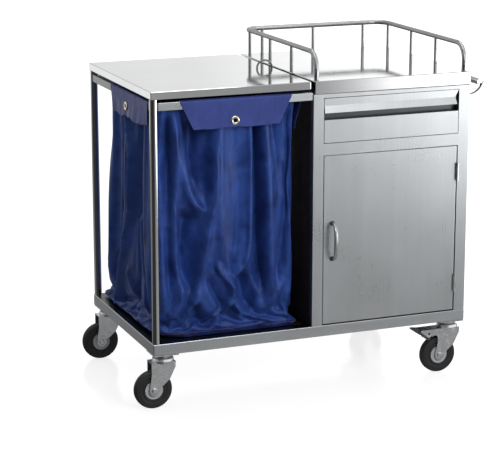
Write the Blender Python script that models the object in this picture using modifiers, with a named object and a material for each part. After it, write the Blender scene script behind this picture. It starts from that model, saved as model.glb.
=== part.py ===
"""Housekeeping cart: steel carcass with a linen bag bay, a cupboard with a drawer, and four castors.

Frame: +X to the right along the cart, +Y to the back, +Z up, metres. The origin is on the floor, under
the middle of the cart's whole footprint. Each moving piece has its origin on its joint's axis.
"""
import math

import bmesh
import bpy
from mathutils import Matrix, Vector

# Driving dimensions -----------------------------------------------------------------------------------
LENGTH = 1.100            # carcass along X
DEPTH = 0.640             # carcass along Y
MID_Y = 0.014             # middle of the carcass; the door handle reaches forward of it
TOP_Z = 1.025             # tops of the lid and the cabinet
GAP = 0.0003              # between pieces that touch
SHEET = 0.0015            # folded sheet steel
PANEL = 0.002             # flat panels

X_LEFT = -LENGTH / 2
X_RIGHT = LENGTH / 2
Y_FRONT = MID_Y - DEPTH / 2
Y_BACK = MID_Y + DEPTH / 2

BASE_BOTTOM = 0.183       # underside of the base frame
BASE_TOP = 0.220
BASE_RAIL = 0.038         # width of the base frame's rails
FLOOR_TOP = 0.208         # floor sheet, recessed in the base frame

POST_RADIUS = 0.0125
RAIL_WIDTH = 0.020        # square tube under the lid
RAIL_TOP = 0.989
RAIL_BOTTOM = 0.964
RAIL_SETBACK = 0.004      # rails stand back from the carcass faces

LID_RIGHT = -0.017
LID_LIP = 0.025
LID_PULL_X = -0.049
LID_PULL_WIDTH = 0.058

CABINET_LEFT = -0.008
CABINET_RIGHT = 0.549
TRAY_LEFT = -0.003
TRAY_LIP = 0.0425
TRAY_BOTTOM = TOP_Z - TRAY_LIP
FRAME_DEPTH = 0.020       # cabinet front frame, front to back
OPENING_LEFT = 0.0285
OPENING_RIGHT = 0.510
DRAWER_TOP = 0.9698       # opening for the drawer
DRAWER_BOTTOM = 0.8225
DOOR_TOP = 0.784          # opening for the door

DOOR_HINGE_X = 0.5081
DOOR_HINGE_Y = Y_FRONT - 0.0048
DOOR_HINGE_HEIGHTS = {"upper": 0.695, "lower": 0.316}

LID_HINGE_Y = Y_BACK + 0.0038
LID_HINGE_Z = 0.9945
LID_HINGE_X = -0.283

GUARD_LEFT = 0.008        # centreline of the guard rail
GUARD_RIGHT = 0.533
GUARD_FRONT = Y_FRONT + 0.016
GUARD_BACK = MID_Y + 0.303
GUARD_HEIGHT = 0.088      # centreline above the tray
GUARD_RADIUS = 0.008
BALUSTER_RADIUS = 0.0055

PUSH_BAR_X = 0.594
PUSH_BAR_Z = 0.986
PUSH_BAR_RADIUS = 0.011

BAG_LEFT = X_LEFT + RAIL_SETBACK + RAIL_WIDTH + 0.0005
BAG_RIGHT = -0.0590
BAG_FRONT = Y_FRONT + RAIL_SETBACK + RAIL_WIDTH + 0.0005
BAG_BACK = 0.207

CASTOR_X = 0.507          # swivel axes
CASTOR_Y = 0.281
TRAIL = 0.035             # wheel axle behind the swivel axis, along -X
WHEEL_RADIUS = 0.0625
TYRE_HALF = 0.016
FORK_INNER = 0.0195       # inside of the fork's cheeks
FORK_PLATE = 0.003
CROWN_Z = 0.155
PIVOT_X = -0.077          # brake pedal pivot, from the swivel axis
PIVOT_Z = 0.141

COLOURS = {
    "polished_steel": ((0.78, 0.79, 0.80), 0.12, 1.0),
    "brushed_steel": ((0.60, 0.61, 0.62), 0.34, 1.0),
    "dark_steel": ((0.03, 0.028, 0.03), 0.45, 0.2),
    "zinc": ((0.55, 0.57, 0.58), 0.38, 0.9),
    "rubber": ((0.03, 0.03, 0.032), 0.75, 0.0),
    "hub_plastic": ((0.36, 0.37, 0.38), 0.5, 0.0),
    "blue_cloth": ((0.035, 0.06, 0.26), 0.55, 0.0),
}


# Scene helpers ----------------------------------------------------------------------------------------
def clear_scene():
    for obj in list(bpy.data.objects):
        bpy.data.objects.remove(obj, do_unlink=True)


def make_collection(name):
    collection = bpy.data.collections.new(name)
    bpy.context.scene.collection.children.link(collection)
    return collection


def make_material(name):
    colour, roughness, metallic = COLOURS[name]
    material = bpy.data.materials.new(name)
    material.use_nodes = True
    shader = material.node_tree.nodes["Principled BSDF"]
    shader.inputs["Base Color"].default_value = (*colour, 1.0)
    shader.inputs["Roughness"].default_value = roughness
    shader.inputs["Metallic"].default_value = metallic
    return material


def add_part(name, data, material, origin=(0, 0, 0), rotation=(0, 0, 0)):
    """Link a new object for a sub-part, with its own copy of the material."""
    obj = bpy.data.objects.new(name, data)
    own = MATERIALS[material].copy()
    own.name = name + "_" + material
    data.materials.append(own)
    obj.location = origin
    obj.rotation_euler = rotation
    PARTS.objects.link(obj)
    return obj


def as_cutter(obj):
    """Turn an object into a guide for Booleans."""
    for collection in list(obj.users_collection):
        collection.objects.unlink(obj)
    CUTTERS.objects.link(obj)
    obj.hide_render = True
    obj.display_type = "WIRE"
    return obj


def boolean(obj, other, operation):
    modifier = obj.modifiers.new(operation.lower(), "BOOLEAN")
    modifier.operation = operation
    modifier.solver = "EXACT"
    modifier.object = as_cutter(other)
    return obj


def smooth(obj, angle=35):
    obj.data.shade_smooth()
    obj.data.set_sharp_from_angle(angle=math.radians(angle))
    return obj


# Shape helpers ----------------------------------------------------------------------------------------
def box_mesh(name, low, high, origin):
    """A box between two corners in world space, stored relative to origin."""
    mesh = bpy.data.meshes.new(name)
    low, high, origin = Vector(low), Vector(high), Vector(origin)
    build = bmesh.new()
    size = high - low
    place = Matrix.Translation((low + high) / 2 - origin) @ Matrix.Diagonal((*size, 1.0))
    bmesh.ops.create_cube(build, size=1.0, matrix=place)
    build.to_mesh(mesh)
    build.free()
    return mesh


def box(name, low, high, material, origin=(0, 0, 0), round_edges=0.0, segments=2):
    obj = add_part(name, box_mesh(name, low, high, origin), material, origin)
    if round_edges:
        bevel = obj.modifiers.new("round_edges", "BEVEL")
        bevel.width = round_edges
        bevel.segments = segments
        smooth(obj)
    return obj


def pan(name, low, high, inside_low, inside_high, material, origin=(0, 0, 0), round_edges=0.0015):
    """A folded sheet pan: a box hollowed from one face."""
    obj = box(name, low, high, material, origin, round_edges)
    return boolean(obj, box(name + "_hollow", inside_low, inside_high, material, origin), "DIFFERENCE")


def cylinder(name, start, end, radius, material, steps=24, origin=(0, 0, 0)):
    """A round bar between two points in world space."""
    start, end, origin = Vector(start), Vector(end), Vector(origin)
    mesh = bpy.data.meshes.new(name)
    build = bmesh.new()
    turn = (end - start).to_track_quat("Z", "Y").to_matrix().to_4x4()
    place = Matrix.Translation((start + end) / 2 - origin) @ turn
    bmesh.ops.create_cone(build, cap_ends=True, segments=steps, radius1=radius, radius2=radius,
                          depth=(end - start).length, matrix=place)
    build.to_mesh(mesh)
    build.free()
    return smooth(add_part(name, mesh, material, origin))


def turned(name, profile, material, origin, rotation=(0, 0, 0), steps=32):
    """A turned piece: a closed (radius, height) profile, its outer side running downwards."""
    mesh = bpy.data.meshes.new(name)
    build = bmesh.new()
    points = [build.verts.new((radius, 0.0, height)) for radius, height in profile]
    closed = all(radius > 0 for radius, _ in profile)
    for first, second in zip(points, points[1:] + points[:1] if closed else points[1:]):
        build.edges.new((first, second))
    build.to_mesh(mesh)
    build.free()
    obj = add_part(name, mesh, material, origin, rotation)
    screw = obj.modifiers.new("turn", "SCREW")
    screw.steps = steps
    screw.render_steps = steps
    screw.use_merge_vertices = True
    screw.merge_threshold = 0.00001
    return obj


def arc(centre, radius, start, end, count):
    """Points on an arc, angles in degrees, both ends included."""
    angles = [math.radians(start + (end - start) * i / count) for i in range(count + 1)]
    return [(centre[0] + radius * math.cos(a), centre[1] + radius * math.sin(a)) for a in angles]


def mesh_from_curve(obj):
    """Replace a curve object by the closed mesh it draws."""
    bpy.context.view_layer.update()
    evaluated = obj.evaluated_get(bpy.context.evaluated_depsgraph_get())
    mesh = bpy.data.meshes.new_from_object(evaluated)
    build = bmesh.new()
    build.from_mesh(mesh)
    bmesh.ops.remove_doubles(build, verts=build.verts, dist=0.00001)
    bmesh.ops.recalc_face_normals(build, faces=build.faces)
    build.to_mesh(mesh)
    build.free()
    name = obj.name
    solid = bpy.data.objects.new(name + "_solid", mesh)
    solid.matrix_world = obj.matrix_world
    for collection in obj.users_collection:
        collection.objects.link(solid)
    bpy.data.objects.remove(obj)
    solid.name = name
    return solid


def outline_plate(name, loops, thickness, material, origin, rotation):
    """A flat plate from closed outlines in its own XY plane; inner loops are holes."""
    curve = bpy.data.curves.new(name, "CURVE")
    curve.dimensions = "2D"
    curve.fill_mode = "BOTH"
    curve.extrude = thickness / 2
    curve.render_resolution_u = 0
    for loop in loops:
        spline = curve.splines.new("POLY")
        spline.points.add(len(loop) - 1)
        for point, (x, y) in zip(spline.points, loop):
            point.co = (x, y, 0.0, 1.0)
        spline.use_cyclic_u = True
    return mesh_from_curve(add_part(name, curve, material, origin, rotation))


def filleted(points, radii, count=5):
    """A path through corner points, with each inner corner rounded to its own radius."""
    path = [Vector(points[0])]
    for before, corner, after, radius in zip(points, points[1:], points[2:], radii):
        corner = Vector(corner)
        back = (Vector(before) - corner).normalized()
        ahead = (Vector(after) - corner).normalized()
        half = back.angle(ahead) / 2
        centre = corner + (back + ahead).normalized() * (radius / math.sin(half))
        first = (corner + back * (radius / math.tan(half)) - centre).normalized()
        last = (corner + ahead * (radius / math.tan(half)) - centre).normalized()
        for i in range(count + 1):
            path.append(centre + first.slerp(last, i / count) * radius)
    path.append(Vector(points[-1]))
    return path


def tube(name, path, radius, material, origin=(0, 0, 0), resolution=4):
    curve = bpy.data.curves.new(name, "CURVE")
    curve.dimensions = "3D"
    curve.bevel_depth = radius
    curve.bevel_resolution = resolution
    curve.use_fill_caps = True
    curve.render_resolution_u = 0
    spline = curve.splines.new("POLY")
    spline.points.add(len(path) - 1)
    for point, place in zip(spline.points, path):
        point.co = (*(Vector(place) - Vector(origin)), 1.0)
    solid = mesh_from_curve(add_part(name, curve, material, origin))
    return smooth(solid)


# Base and bag bay -------------------------------------------------------------------------------------
def base_frame():
    """Perimeter frame of folded channel with one cross member under the cabinet's left wall."""
    inner_low = (X_LEFT + BASE_RAIL, Y_FRONT + BASE_RAIL, BASE_BOTTOM - 0.01)
    inner_high = (X_RIGHT - BASE_RAIL, Y_BACK - BASE_RAIL, BASE_TOP + 0.01)
    frame = pan("base_frame", (X_LEFT, Y_FRONT, BASE_BOTTOM), (X_RIGHT, Y_BACK, BASE_TOP),
                inner_low, inner_high, "brushed_steel", round_edges=0.002)
    member = box("base_cross_member", (-0.027, Y_FRONT + BASE_RAIL - 0.005, BASE_BOTTOM + 0.002),
                 (0.011, Y_BACK - BASE_RAIL + 0.005, FLOOR_TOP - SHEET - GAP), "brushed_steel")
    boolean(frame, member, "UNION")
    box("base_floor", (X_LEFT + BASE_RAIL + GAP, Y_FRONT + BASE_RAIL + GAP, FLOOR_TOP - SHEET),
        (X_RIGHT - BASE_RAIL - GAP, Y_BACK - BASE_RAIL - GAP, FLOOR_TOP), "dark_steel")


def posts_and_rails():
    """Two round posts at the left end and the square tubes that carry the lid and the bag."""
    post_x = X_LEFT + POST_RADIUS
    for side, y in (("front", Y_FRONT + POST_RADIUS), ("rear", Y_BACK - POST_RADIUS)):
        cylinder("post_" + side, (post_x, y, BASE_TOP + GAP), (post_x, y, TOP_Z - LID_LIP - GAP),
                 POST_RADIUS, "polished_steel", steps=32)
    start = X_LEFT + 2 * POST_RADIUS + GAP
    end = CABINET_LEFT - GAP
    front = Y_FRONT + RAIL_SETBACK
    left = X_LEFT + RAIL_SETBACK
    inner_y = BAG_BACK + 0.0005
    inner_x = BAG_RIGHT + 0.0005
    rails = {
        "top_rail_front": ((start, front), (end, front + RAIL_WIDTH)),
        "top_rail_rear": ((start, Y_BACK - RAIL_WIDTH), (end, Y_BACK)),
        "top_rail_left": ((left, Y_FRONT + 2 * POST_RADIUS + GAP),
                          (left + RAIL_WIDTH, Y_BACK - 2 * POST_RADIUS - GAP)),
        "bag_rail_rear": ((left + RAIL_WIDTH + GAP, inner_y), (end, inner_y + RAIL_WIDTH)),
        "bag_rail_right": ((inner_x, front + RAIL_WIDTH + GAP), (inner_x + RAIL_WIDTH, inner_y - GAP)),
    }
    for name, (low, high) in rails.items():
        box(name, (*low, RAIL_BOTTOM), (*high, RAIL_TOP), "brushed_steel", round_edges=0.0015)


def linen_bag():
    """Open bag hung inside the rails; its foot spreads on the floor sheet."""
    sections = (  # height, left, right, front, back, corner radius
        (FLOOR_TOP + 0.0005, -0.504, -0.028, -0.252, 0.288, 0.050),
        (0.235, -0.512, -0.030, -0.252, 0.294, 0.050),
        (0.300, -0.518, -0.050, -0.258, 0.266, 0.045),
        (0.450, BAG_LEFT + 0.003, BAG_RIGHT + 0.004, BAG_FRONT + 0.006, 0.238, 0.035),
        (0.700, BAG_LEFT, BAG_RIGHT, BAG_FRONT + 0.002, 0.218, 0.020),
        (RAIL_BOTTOM - 0.012, BAG_LEFT, BAG_RIGHT, BAG_FRONT, BAG_BACK, 0.012),
        (RAIL_TOP - 0.001, BAG_LEFT, BAG_RIGHT, BAG_FRONT, BAG_BACK, 0.012),
    )
    build = bmesh.new()
    rings = []
    for height, left, right, front, back, radius in sections:
        corners = ((right - radius, front + radius, -90), (right - radius, back - radius, 0),
                   (left + radius, back - radius, 90), (left + radius, front + radius, 180))
        points = [p for x, y, a in corners for p in arc((x, y), radius, a, a + 90, 4)]
        rings.append([build.verts.new((x, y, height)) for x, y in points])
    for lower, upper in zip(rings, rings[1:]):
        for i, vert in enumerate(lower):
            after = (i + 1) % len(lower)
            build.faces.new((vert, lower[after], upper[after], upper[i]))
    build.faces.new(list(reversed(rings[0])))
    mesh = bpy.data.meshes.new("linen_bag")
    build.to_mesh(mesh)
    build.free()
    bag = smooth(add_part("linen_bag", mesh, "blue_cloth"))
    wall = bag.modifiers.new("wall", "SOLIDIFY")
    wall.thickness = 0.003
    wall.offset = -1.0


def bag_flaps():
    """Flaps of the bag folded out over the front and left rails."""
    top = RAIL_TOP
    drop = 0.092
    half_top, half_bottom = 0.186, 0.144
    outline = ((-half_top, 0.0), (-half_bottom, -drop), (half_bottom, -drop), (half_top, 0.0))
    upright = (math.radians(90), 0.0, 0.0)
    outline_plate("bag_flap_front", [outline], 0.0024, "blue_cloth", (-0.2675, Y_FRONT + 0.0022, top), upright)
    outline_plate("bag_flap_left", [outline], 0.0024, "blue_cloth", (X_LEFT + 0.0022, MID_Y - 0.076, top),
                  (math.radians(90), 0.0, math.radians(90)))


# Lid --------------------------------------------------------------------------------------------------
def lid():
    """Lid pan over the bag bay, hinged along its back edge, with a small bow to lift it by."""
    axis = (LID_HINGE_X, LID_HINGE_Y, LID_HINGE_Z)
    bottom = TOP_Z - LID_LIP
    pan("lid", (X_LEFT, Y_FRONT, bottom), (LID_RIGHT, Y_BACK, TOP_Z),
        (X_LEFT + SHEET, Y_FRONT + SHEET, bottom - 0.01), (LID_RIGHT - SHEET, Y_BACK - SHEET, TOP_Z - SHEET),
        "polished_steel", axis, round_edges=0.002)
    bow = [(LID_PULL_X + x, MID_Y - 0.010, TOP_Z + 0.0035 + z * 0.88)
           for x, z in arc((0, 0), LID_PULL_WIDTH / 2 - 0.003, 0, 180, 14)]
    foot = TOP_Z + GAP
    path = [(bow[0][0], bow[0][1], foot)] + bow + [(bow[-1][0], bow[-1][1], foot)]
    tube("lid_pull", path, 0.0034, "polished_steel", axis, resolution=3)


def barrel_hinge(names, frame, length, radius, plates, tabs, material="zinc"):
    """A three-knuckle hinge: the fixed leaf has the middle knuckle and the pin.

    frame puts the hinge's own Z on the joint's axis; plates and tabs are (x0, y0, x1, y1) for the
    fixed leaf and the moving leaf, and a tab ties a leaf to its knuckles.
    """
    half = length / 2
    middle = length / 6
    clearance = 0.0004
    pin_radius = radius * 0.4
    spans = {"fixed": [(clearance - middle, middle - clearance)], "moving": [(-half, -middle), (middle, half)]}
    for name, kind, plate, tab in zip(names, spans, plates, tabs):
        leaf = box(name, (plate[0], plate[1], -half), (plate[2], plate[3], half), material)
        for low, high in spans[kind]:
            boolean(leaf, box(name + "_tab", (tab[0], tab[1], low), (tab[2], tab[3], high), material), "UNION")
            boolean(leaf, cylinder(name + "_knuckle", (0, 0, low), (0, 0, high), radius, material, 16), "UNION")
        reach = half + 0.002 if kind == "fixed" else half + 0.01
        width = pin_radius if kind == "fixed" else pin_radius + 0.0004
        pin = cylinder(name + "_pin", (0, 0, -reach), (0, 0, reach), width, material, 12)
        boolean(leaf, pin, "UNION" if kind == "fixed" else "DIFFERENCE")
        leaf.matrix_world = frame
        for modifier in leaf.modifiers:
            modifier.object.matrix_world = frame


def hinges():
    lid_frame = Matrix(((0, 0, 1, LID_HINGE_X), (1, 0, 0, LID_HINGE_Y), (0, 1, 0, LID_HINGE_Z), (0, 0, 0, 1)))
    barrel_hinge(("lid_hinge_fixed", "lid_hinge_moving"), lid_frame, 0.300, 0.0035,
                 ((-0.0035, -0.028, -0.0023, -0.004), (-0.0035, 0.004, -0.0023, 0.020)),
                 ((-0.0035, -0.0045, -0.0023, 0.0), (-0.0035, 0.0, -0.0023, 0.0045)))
    for which, height in DOOR_HINGE_HEIGHTS.items():
        barrel_hinge(("door_hinge_%s_fixed" % which, "door_hinge_%s_moving" % which),
                     Matrix.Translation((DOOR_HINGE_X, DOOR_HINGE_Y, height)), 0.058, 0.0045,
                     ((0.0004, 0.0051, 0.0016, 0.021), (-0.0016, 0.0051, -0.0004, 0.021)),
                     ((0.0004, 0.0, 0.0016, 0.0055), (-0.0016, 0.0, -0.0004, 0.0055)))


# Cabinet ----------------------------------------------------------------------------------------------
def cabinet_shell():
    bottom = BASE_TOP + GAP
    top = TRAY_BOTTOM - GAP
    front = Y_FRONT + FRAME_DEPTH + GAP
    box("cabinet_side_left", (CABINET_LEFT, front, bottom), (CABINET_LEFT + PANEL, Y_BACK, top), "dark_steel")
    box("cabinet_side_right", (CABINET_RIGHT - PANEL, front, bottom), (CABINET_RIGHT, Y_BACK, top),
        "brushed_steel")
    inner_left = CABINET_LEFT + PANEL + GAP
    inner_right = CABINET_RIGHT - PANEL - GAP
    box("cabinet_back", (inner_left, Y_BACK - PANEL, bottom), (inner_right, Y_BACK, top), "brushed_steel")
    shelf_front = Y_FRONT + 0.060
    shelf_back = Y_BACK - PANEL - GAP
    shelf_z = 0.500
    pan("cabinet_shelf", (inner_left, shelf_front, shelf_z - 0.020), (inner_right, shelf_back, shelf_z),
        (inner_left + SHEET, shelf_front + SHEET, shelf_z - 0.03),
        (inner_right - SHEET, shelf_back - SHEET, shelf_z - SHEET), "brushed_steel")


def cabinet_front_frame():
    """Stiles, a thin top rail and a middle rail, open below the door."""
    back = Y_FRONT + FRAME_DEPTH
    frame = box("cabinet_front_frame", (CABINET_LEFT, Y_FRONT, BASE_TOP + GAP),
                (CABINET_RIGHT, back, TRAY_BOTTOM - GAP), "brushed_steel", round_edges=0.0012)
    openings = {"drawer": (DRAWER_BOTTOM, DRAWER_TOP), "door": (BASE_TOP - 0.01, DOOR_TOP)}
    for name, (low, high) in openings.items():
        hole = box(name + "_opening", (OPENING_LEFT, Y_FRONT - 0.01, low), (OPENING_RIGHT, back + 0.01, high),
                   "brushed_steel")
        boolean(frame, hole, "DIFFERENCE")


def cabinet_top():
    pan("cabinet_top", (TRAY_LEFT, Y_FRONT, TRAY_BOTTOM), (X_RIGHT, Y_BACK, TOP_Z),
        (TRAY_LEFT + SHEET, Y_FRONT + SHEET, TRAY_BOTTOM - 0.01),
        (X_RIGHT - SHEET, Y_BACK - SHEET, TOP_Z - SHEET), "polished_steel", round_edges=0.002)


def guard_rail():
    """Three-sided rail of bent tube with welded balusters on the cabinet top."""
    foot = TOP_Z + GAP
    rail_z = TOP_Z + GUARD_HEIGHT
    corners = [(GUARD_LEFT, GUARD_FRONT, foot), (GUARD_LEFT, GUARD_FRONT, rail_z),
               (GUARD_LEFT, GUARD_BACK, rail_z), (GUARD_RIGHT, GUARD_BACK, rail_z),
               (GUARD_RIGHT, GUARD_FRONT, rail_z), (GUARD_RIGHT, GUARD_FRONT, foot)]
    rail = tube("guard_rail", filleted(corners, (0.050, 0.036, 0.052, 0.050)), GUARD_RADIUS, "polished_steel")
    side_places = (-0.102, 0.080, 0.262)
    back_places = (0.070, 0.262, 0.454)
    feet = [(x, MID_Y + y) for x in (GUARD_LEFT, GUARD_RIGHT) for y in side_places]
    feet += [(x, GUARD_BACK) for x in back_places]
    for x, y in feet:
        baluster = cylinder("guard_baluster", (x, y, foot), (x, y, rail_z), BALUSTER_RADIUS, "polished_steel", 12)
        boolean(rail, baluster, "UNION")


def push_handle():
    """Round push bar across the right end, between two gusset plates with a scooped upper edge."""
    wall = X_RIGHT + GAP
    tip_x, tip_z = 0.615, 1.001
    scoop = arc((0.552, 0.9985), 0.0505, -90, -22, 8)
    outline = [(wall, 0.868), (tip_x, 0.943), (tip_x, tip_z)] + list(reversed(scoop)) + [(wall, 0.948)]
    plate = 0.003
    setback = 0.012
    upright = (math.radians(90), 0.0, 0.0)
    places = {"front": Y_FRONT + setback, "rear": Y_BACK - setback}
    for side, y in places.items():
        outline_plate("push_bracket_" + side, [outline], plate, "polished_steel", (0.0, y, 0.0), upright)
    inset = plate / 2 + GAP
    cylinder("push_bar", (PUSH_BAR_X, places["front"] + inset, PUSH_BAR_Z),
             (PUSH_BAR_X, places["rear"] - inset, PUSH_BAR_Z), PUSH_BAR_RADIUS, "polished_steel", 24)


# Drawer -----------------------------------------------------------------------------------------------
def drawer():
    clearance = 0.002
    left = OPENING_LEFT + clearance
    right = OPENING_RIGHT - clearance
    recess = 0.024
    lip_bottom, lip_fold, shelf = 0.9212, 0.9445, 0.8984
    upper = DRAWER_TOP - clearance - SHEET
    rows = (  # y, z, how far the row's right end is cut back
        (Y_FRONT, DRAWER_BOTTOM + clearance, 0.0), (Y_FRONT, shelf, 0.0), (Y_FRONT + recess, shelf, 0.0),
        (Y_FRONT + recess, upper, 0.0), (Y_FRONT + SHEET, upper, 0.0), (Y_FRONT + SHEET, lip_fold, 0.012),
        (Y_FRONT + SHEET - 0.005, lip_bottom, 0.007),
    )
    build = bmesh.new()
    pairs = [(build.verts.new((left, y, z)), build.verts.new((right - cut, y, z))) for y, z, cut in rows]
    for (a, b), (c, d) in zip(pairs, pairs[1:]):
        build.faces.new((a, b, d, c))
    mesh = bpy.data.meshes.new("drawer_front")
    build.to_mesh(mesh)
    build.free()
    front = add_part("drawer_front", mesh, "brushed_steel")
    shell = front.modifiers.new("sheet", "SOLIDIFY")
    shell.thickness = SHEET
    shell.offset = -1.0
    shell.use_even_offset = True

    slide_width = 0.0140
    box_front = Y_FRONT + recess + SHEET + GAP
    box_back = box_front + 0.480
    low = (OPENING_LEFT + slide_width, box_front, 0.832)
    high = (OPENING_RIGHT - slide_width, box_back, 0.945)
    pan("drawer_box", low, high, (low[0] + SHEET, low[1] + SHEET, low[2] + SHEET),
        (high[0] - SHEET, high[1] - SHEET, high[2] + 0.01), "brushed_steel", round_edges=0.0008)
    bar_low, bar_high = 0.8782, 0.8988
    for side, edge, turn in (("left", OPENING_LEFT, 1), ("right", OPENING_RIGHT, -1)):
        ends = sorted((edge + turn * 0.0025, edge + turn * (slide_width - GAP)))
        box("drawer_slide_" + side, (ends[0], box_front, bar_low), (ends[1], box_back - 0.02, bar_high), "zinc")


def drawer_runners():
    """Channels that carry the drawer's slides, stood off from the cabinet's side walls."""
    walls = {"left": (CABINET_LEFT + PANEL + GAP, OPENING_LEFT, 1),
             "right": (CABINET_RIGHT - PANEL - GAP, OPENING_RIGHT, -1)}
    metal = 0.0012
    bottom, top = 0.8765, 0.9005
    web_low = (bottom + top) / 2 - metal / 2
    length = 0.470
    for side, (wall, edge, turn) in walls.items():
        near = edge + turn * 0.0007
        web = near + turn * metal
        lip = near + turn * 0.0083
        foot = wall + turn * SHEET
        outline = [(wall, 0.870), (foot, 0.870), (foot, web_low), (near, web_low), (near, bottom), (lip, bottom),
                   (lip, bottom + metal), (web, bottom + metal), (web, top - metal), (lip, top - metal),
                   (lip, top), (near, top), (near, web_low + metal), (foot, web_low + metal), (foot, 0.907),
                   (wall, 0.907)]
        middle = Y_FRONT + FRAME_DEPTH + 0.0062 + length / 2
        outline_plate("drawer_runner_" + side, [outline], length, "zinc", (0.0, middle, 0.0),
                      (math.radians(90), 0.0, 0.0))


# Door -------------------------------------------------------------------------------------------------
def door():
    axis = (DOOR_HINGE_X, DOOR_HINGE_Y, (DOOR_TOP + BASE_TOP) / 2)
    low = (OPENING_LEFT + 0.002, Y_FRONT + 0.0005, 0.224)
    high = (0.5062, Y_FRONT + 0.0185, DOOR_TOP - 0.002)
    pan("door", low, high, (low[0] + SHEET, low[1] + SHEET, low[2] + SHEET),
        (high[0] - SHEET, high[1] + 0.01, high[2] - SHEET), "brushed_steel", axis, round_edges=0.0012)
    x = 0.062
    face = low[1] - GAP
    corners = [(x, face, 0.442), (x, face - 0.026, 0.442), (x, face - 0.0315, 0.501), (x, face - 0.026, 0.560),
               (x, face, 0.560)]
    path = filleted(corners, (0.012, 0.090, 0.012), count=4)
    tube("door_handle", path, 0.005, "polished_steel", axis)


# Castors ----------------------------------------------------------------------------------------------
def fork_outline(braked):
    """Cheek of a fork in (x, z) from the swivel axis: broad at the crown, round at the axle."""
    boss = arc((-TRAIL, WHEEL_RADIUS), 0.017, 28, -190, 12)
    outline = [(0.036, CROWN_Z), (0.035, 0.136), (0.016, 0.098), (-0.006, 0.078)] + boss
    if braked:
        hook = arc((-0.0545, 0.1235), 0.0105, 0, 150, 6)
        lobe = arc((PIVOT_X, PIVOT_Z), 0.013, -30, -150, 6)
        outline += [(-0.044, 0.105)] + hook + lobe + [(-0.108, 0.149), (-0.108, CROWN_Z)]
    else:
        outline += [(-0.045, 0.115), (-0.045, CROWN_Z)]
    return outline


def castor(corner, x, y, braked):
    """Swivel castor: plate on the base frame, forked swivel head, axle bolt, hub and tyre."""
    upright = (math.radians(90), 0.0, 0.0)
    swivel = (x, y, CROWN_Z)
    wheel = (x - TRAIL, y, WHEEL_RADIUS)

    plate = box("castor_%s_plate" % corner, (x - 0.042, y - 0.038, 0.1785), (x + 0.042, y + 0.038, 0.1827),
                "zinc", round_edges=0.001, segments=1)
    neck = cylinder("castor_neck", (x, y, 0.1702), (x, y, 0.1800), 0.026, "zinc", 24)
    boolean(plate, neck, "UNION")

    head_profile = ((0.0, 0.0147), (0.025, 0.0147), (0.033, 0.0110), (0.0355, 0.0035), (0.0355, -0.0025), (0.0, -0.0025))
    fork = smooth(turned("castor_%s_fork" % corner, head_profile, "zinc", swivel, steps=24))
    crown_left = -0.108 if braked else -0.045
    crown = box("castor_crown", (x + crown_left + 0.0005, y - FORK_INNER - 0.001, CROWN_Z - 0.0035),
                (x + 0.0355, y + FORK_INNER + 0.001, CROWN_Z - 0.0003), "zinc")
    boolean(fork, crown, "UNION")
    holes = [arc((-TRAIL, WHEEL_RADIUS), 0.0063, 0, 337.5, 15)]
    if braked:
        holes.append(arc((PIVOT_X, PIVOT_Z), 0.0043, 0, 330, 11))
    for side in (-1, 1):
        cheek_y = y + side * (FORK_INNER + FORK_PLATE / 2)
        cheek = outline_plate("castor_cheek", [fork_outline(braked)] + holes, FORK_PLATE, "zinc",
                              (x, cheek_y, 0.0), upright)
        boolean(fork, cheek, "UNION")

    outside = FORK_INNER + FORK_PLATE + GAP
    shaft, head = 0.006, 0.0095
    axle_profile = ((0.0, outside + 0.005), (head - 0.002, outside + 0.005), (head, outside + 0.003),
                    (head, outside), (shaft, outside), (shaft, -outside), (head, -outside),
                    (head, -outside - 0.003), (head - 0.002, -outside - 0.005), (0.0, -outside - 0.005))
    smooth(turned("castor_%s_axle" % corner, axle_profile, "zinc", wheel, upright, 16))

    rim, bore = 0.0300, 0.0066
    hub_profile = ((bore, 0.0175), (0.0125, 0.0175), (0.0135, 0.0135), (0.0270, 0.0135), (rim, 0.0145),
                   (rim, -0.0145), (0.0270, -0.0135), (0.0135, -0.0135), (0.0125, -0.0175), (bore, -0.0175))
    smooth(turned("castor_%s_hub" % corner, hub_profile, "hub_plastic", wheel, upright, 24))

    inner = rim + GAP
    shoulder = arc((0.0530, TYRE_HALF - 0.0095), 0.0095, 90, 0, 3)
    tyre_half = [(inner, 0.0135), (0.0340, TYRE_HALF)] + shoulder
    lower = [(radius, -height) for radius, height in reversed(tyre_half)]
    smooth(turned("castor_%s_tyre" % corner, tyre_half + lower, "rubber", wheel, upright, 36))

    if braked:
        brake_pedal(corner, x, y, upright)


def brake_pedal(corner, x, y, upright):
    """Toe pedal on a pin between the cheeks; pressing the toe down brings its shoe to the tyre."""
    pivot = (x + PIVOT_X, y, PIVOT_Z)
    boss = arc((0.0, 0.0), 0.0080, 45, -30, 4)
    shoe = [(0.0075, -0.0225), (-0.0010, -0.0243), (-0.0090, -0.0190), (-0.0150, -0.0060)]
    toe = [(-0.034, -0.0010), (-0.0530, 0.0125), (-0.0535, 0.0180), (-0.0345, 0.0160), (-0.0335, 0.0085)]
    outline = boss + shoe + toe
    pedal = outline_plate("castor_%s_brake_pedal" % corner, [outline], 2 * (FORK_INNER - 0.0010), "dark_steel",
                          pivot, upright)
    reach = FORK_INNER + FORK_PLATE + 0.0015
    pin = cylinder("brake_pin", (pivot[0], y - reach, PIVOT_Z), (pivot[0], y + reach, PIVOT_Z), 0.0040, "zinc", 12)
    boolean(pedal, pin, "UNION")


def castors():
    for end, x in (("left", -CASTOR_X), ("right", CASTOR_X)):
        for side, y in (("front", MID_Y - CASTOR_Y), ("rear", MID_Y + CASTOR_Y)):
            castor(side + "_" + end, x, y, braked=end == "right")


clear_scene()
PARTS = make_collection("housekeeping_cart")
CUTTERS = make_collection("cutters")
MATERIALS = {name: make_material(name) for name in COLOURS}

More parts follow.
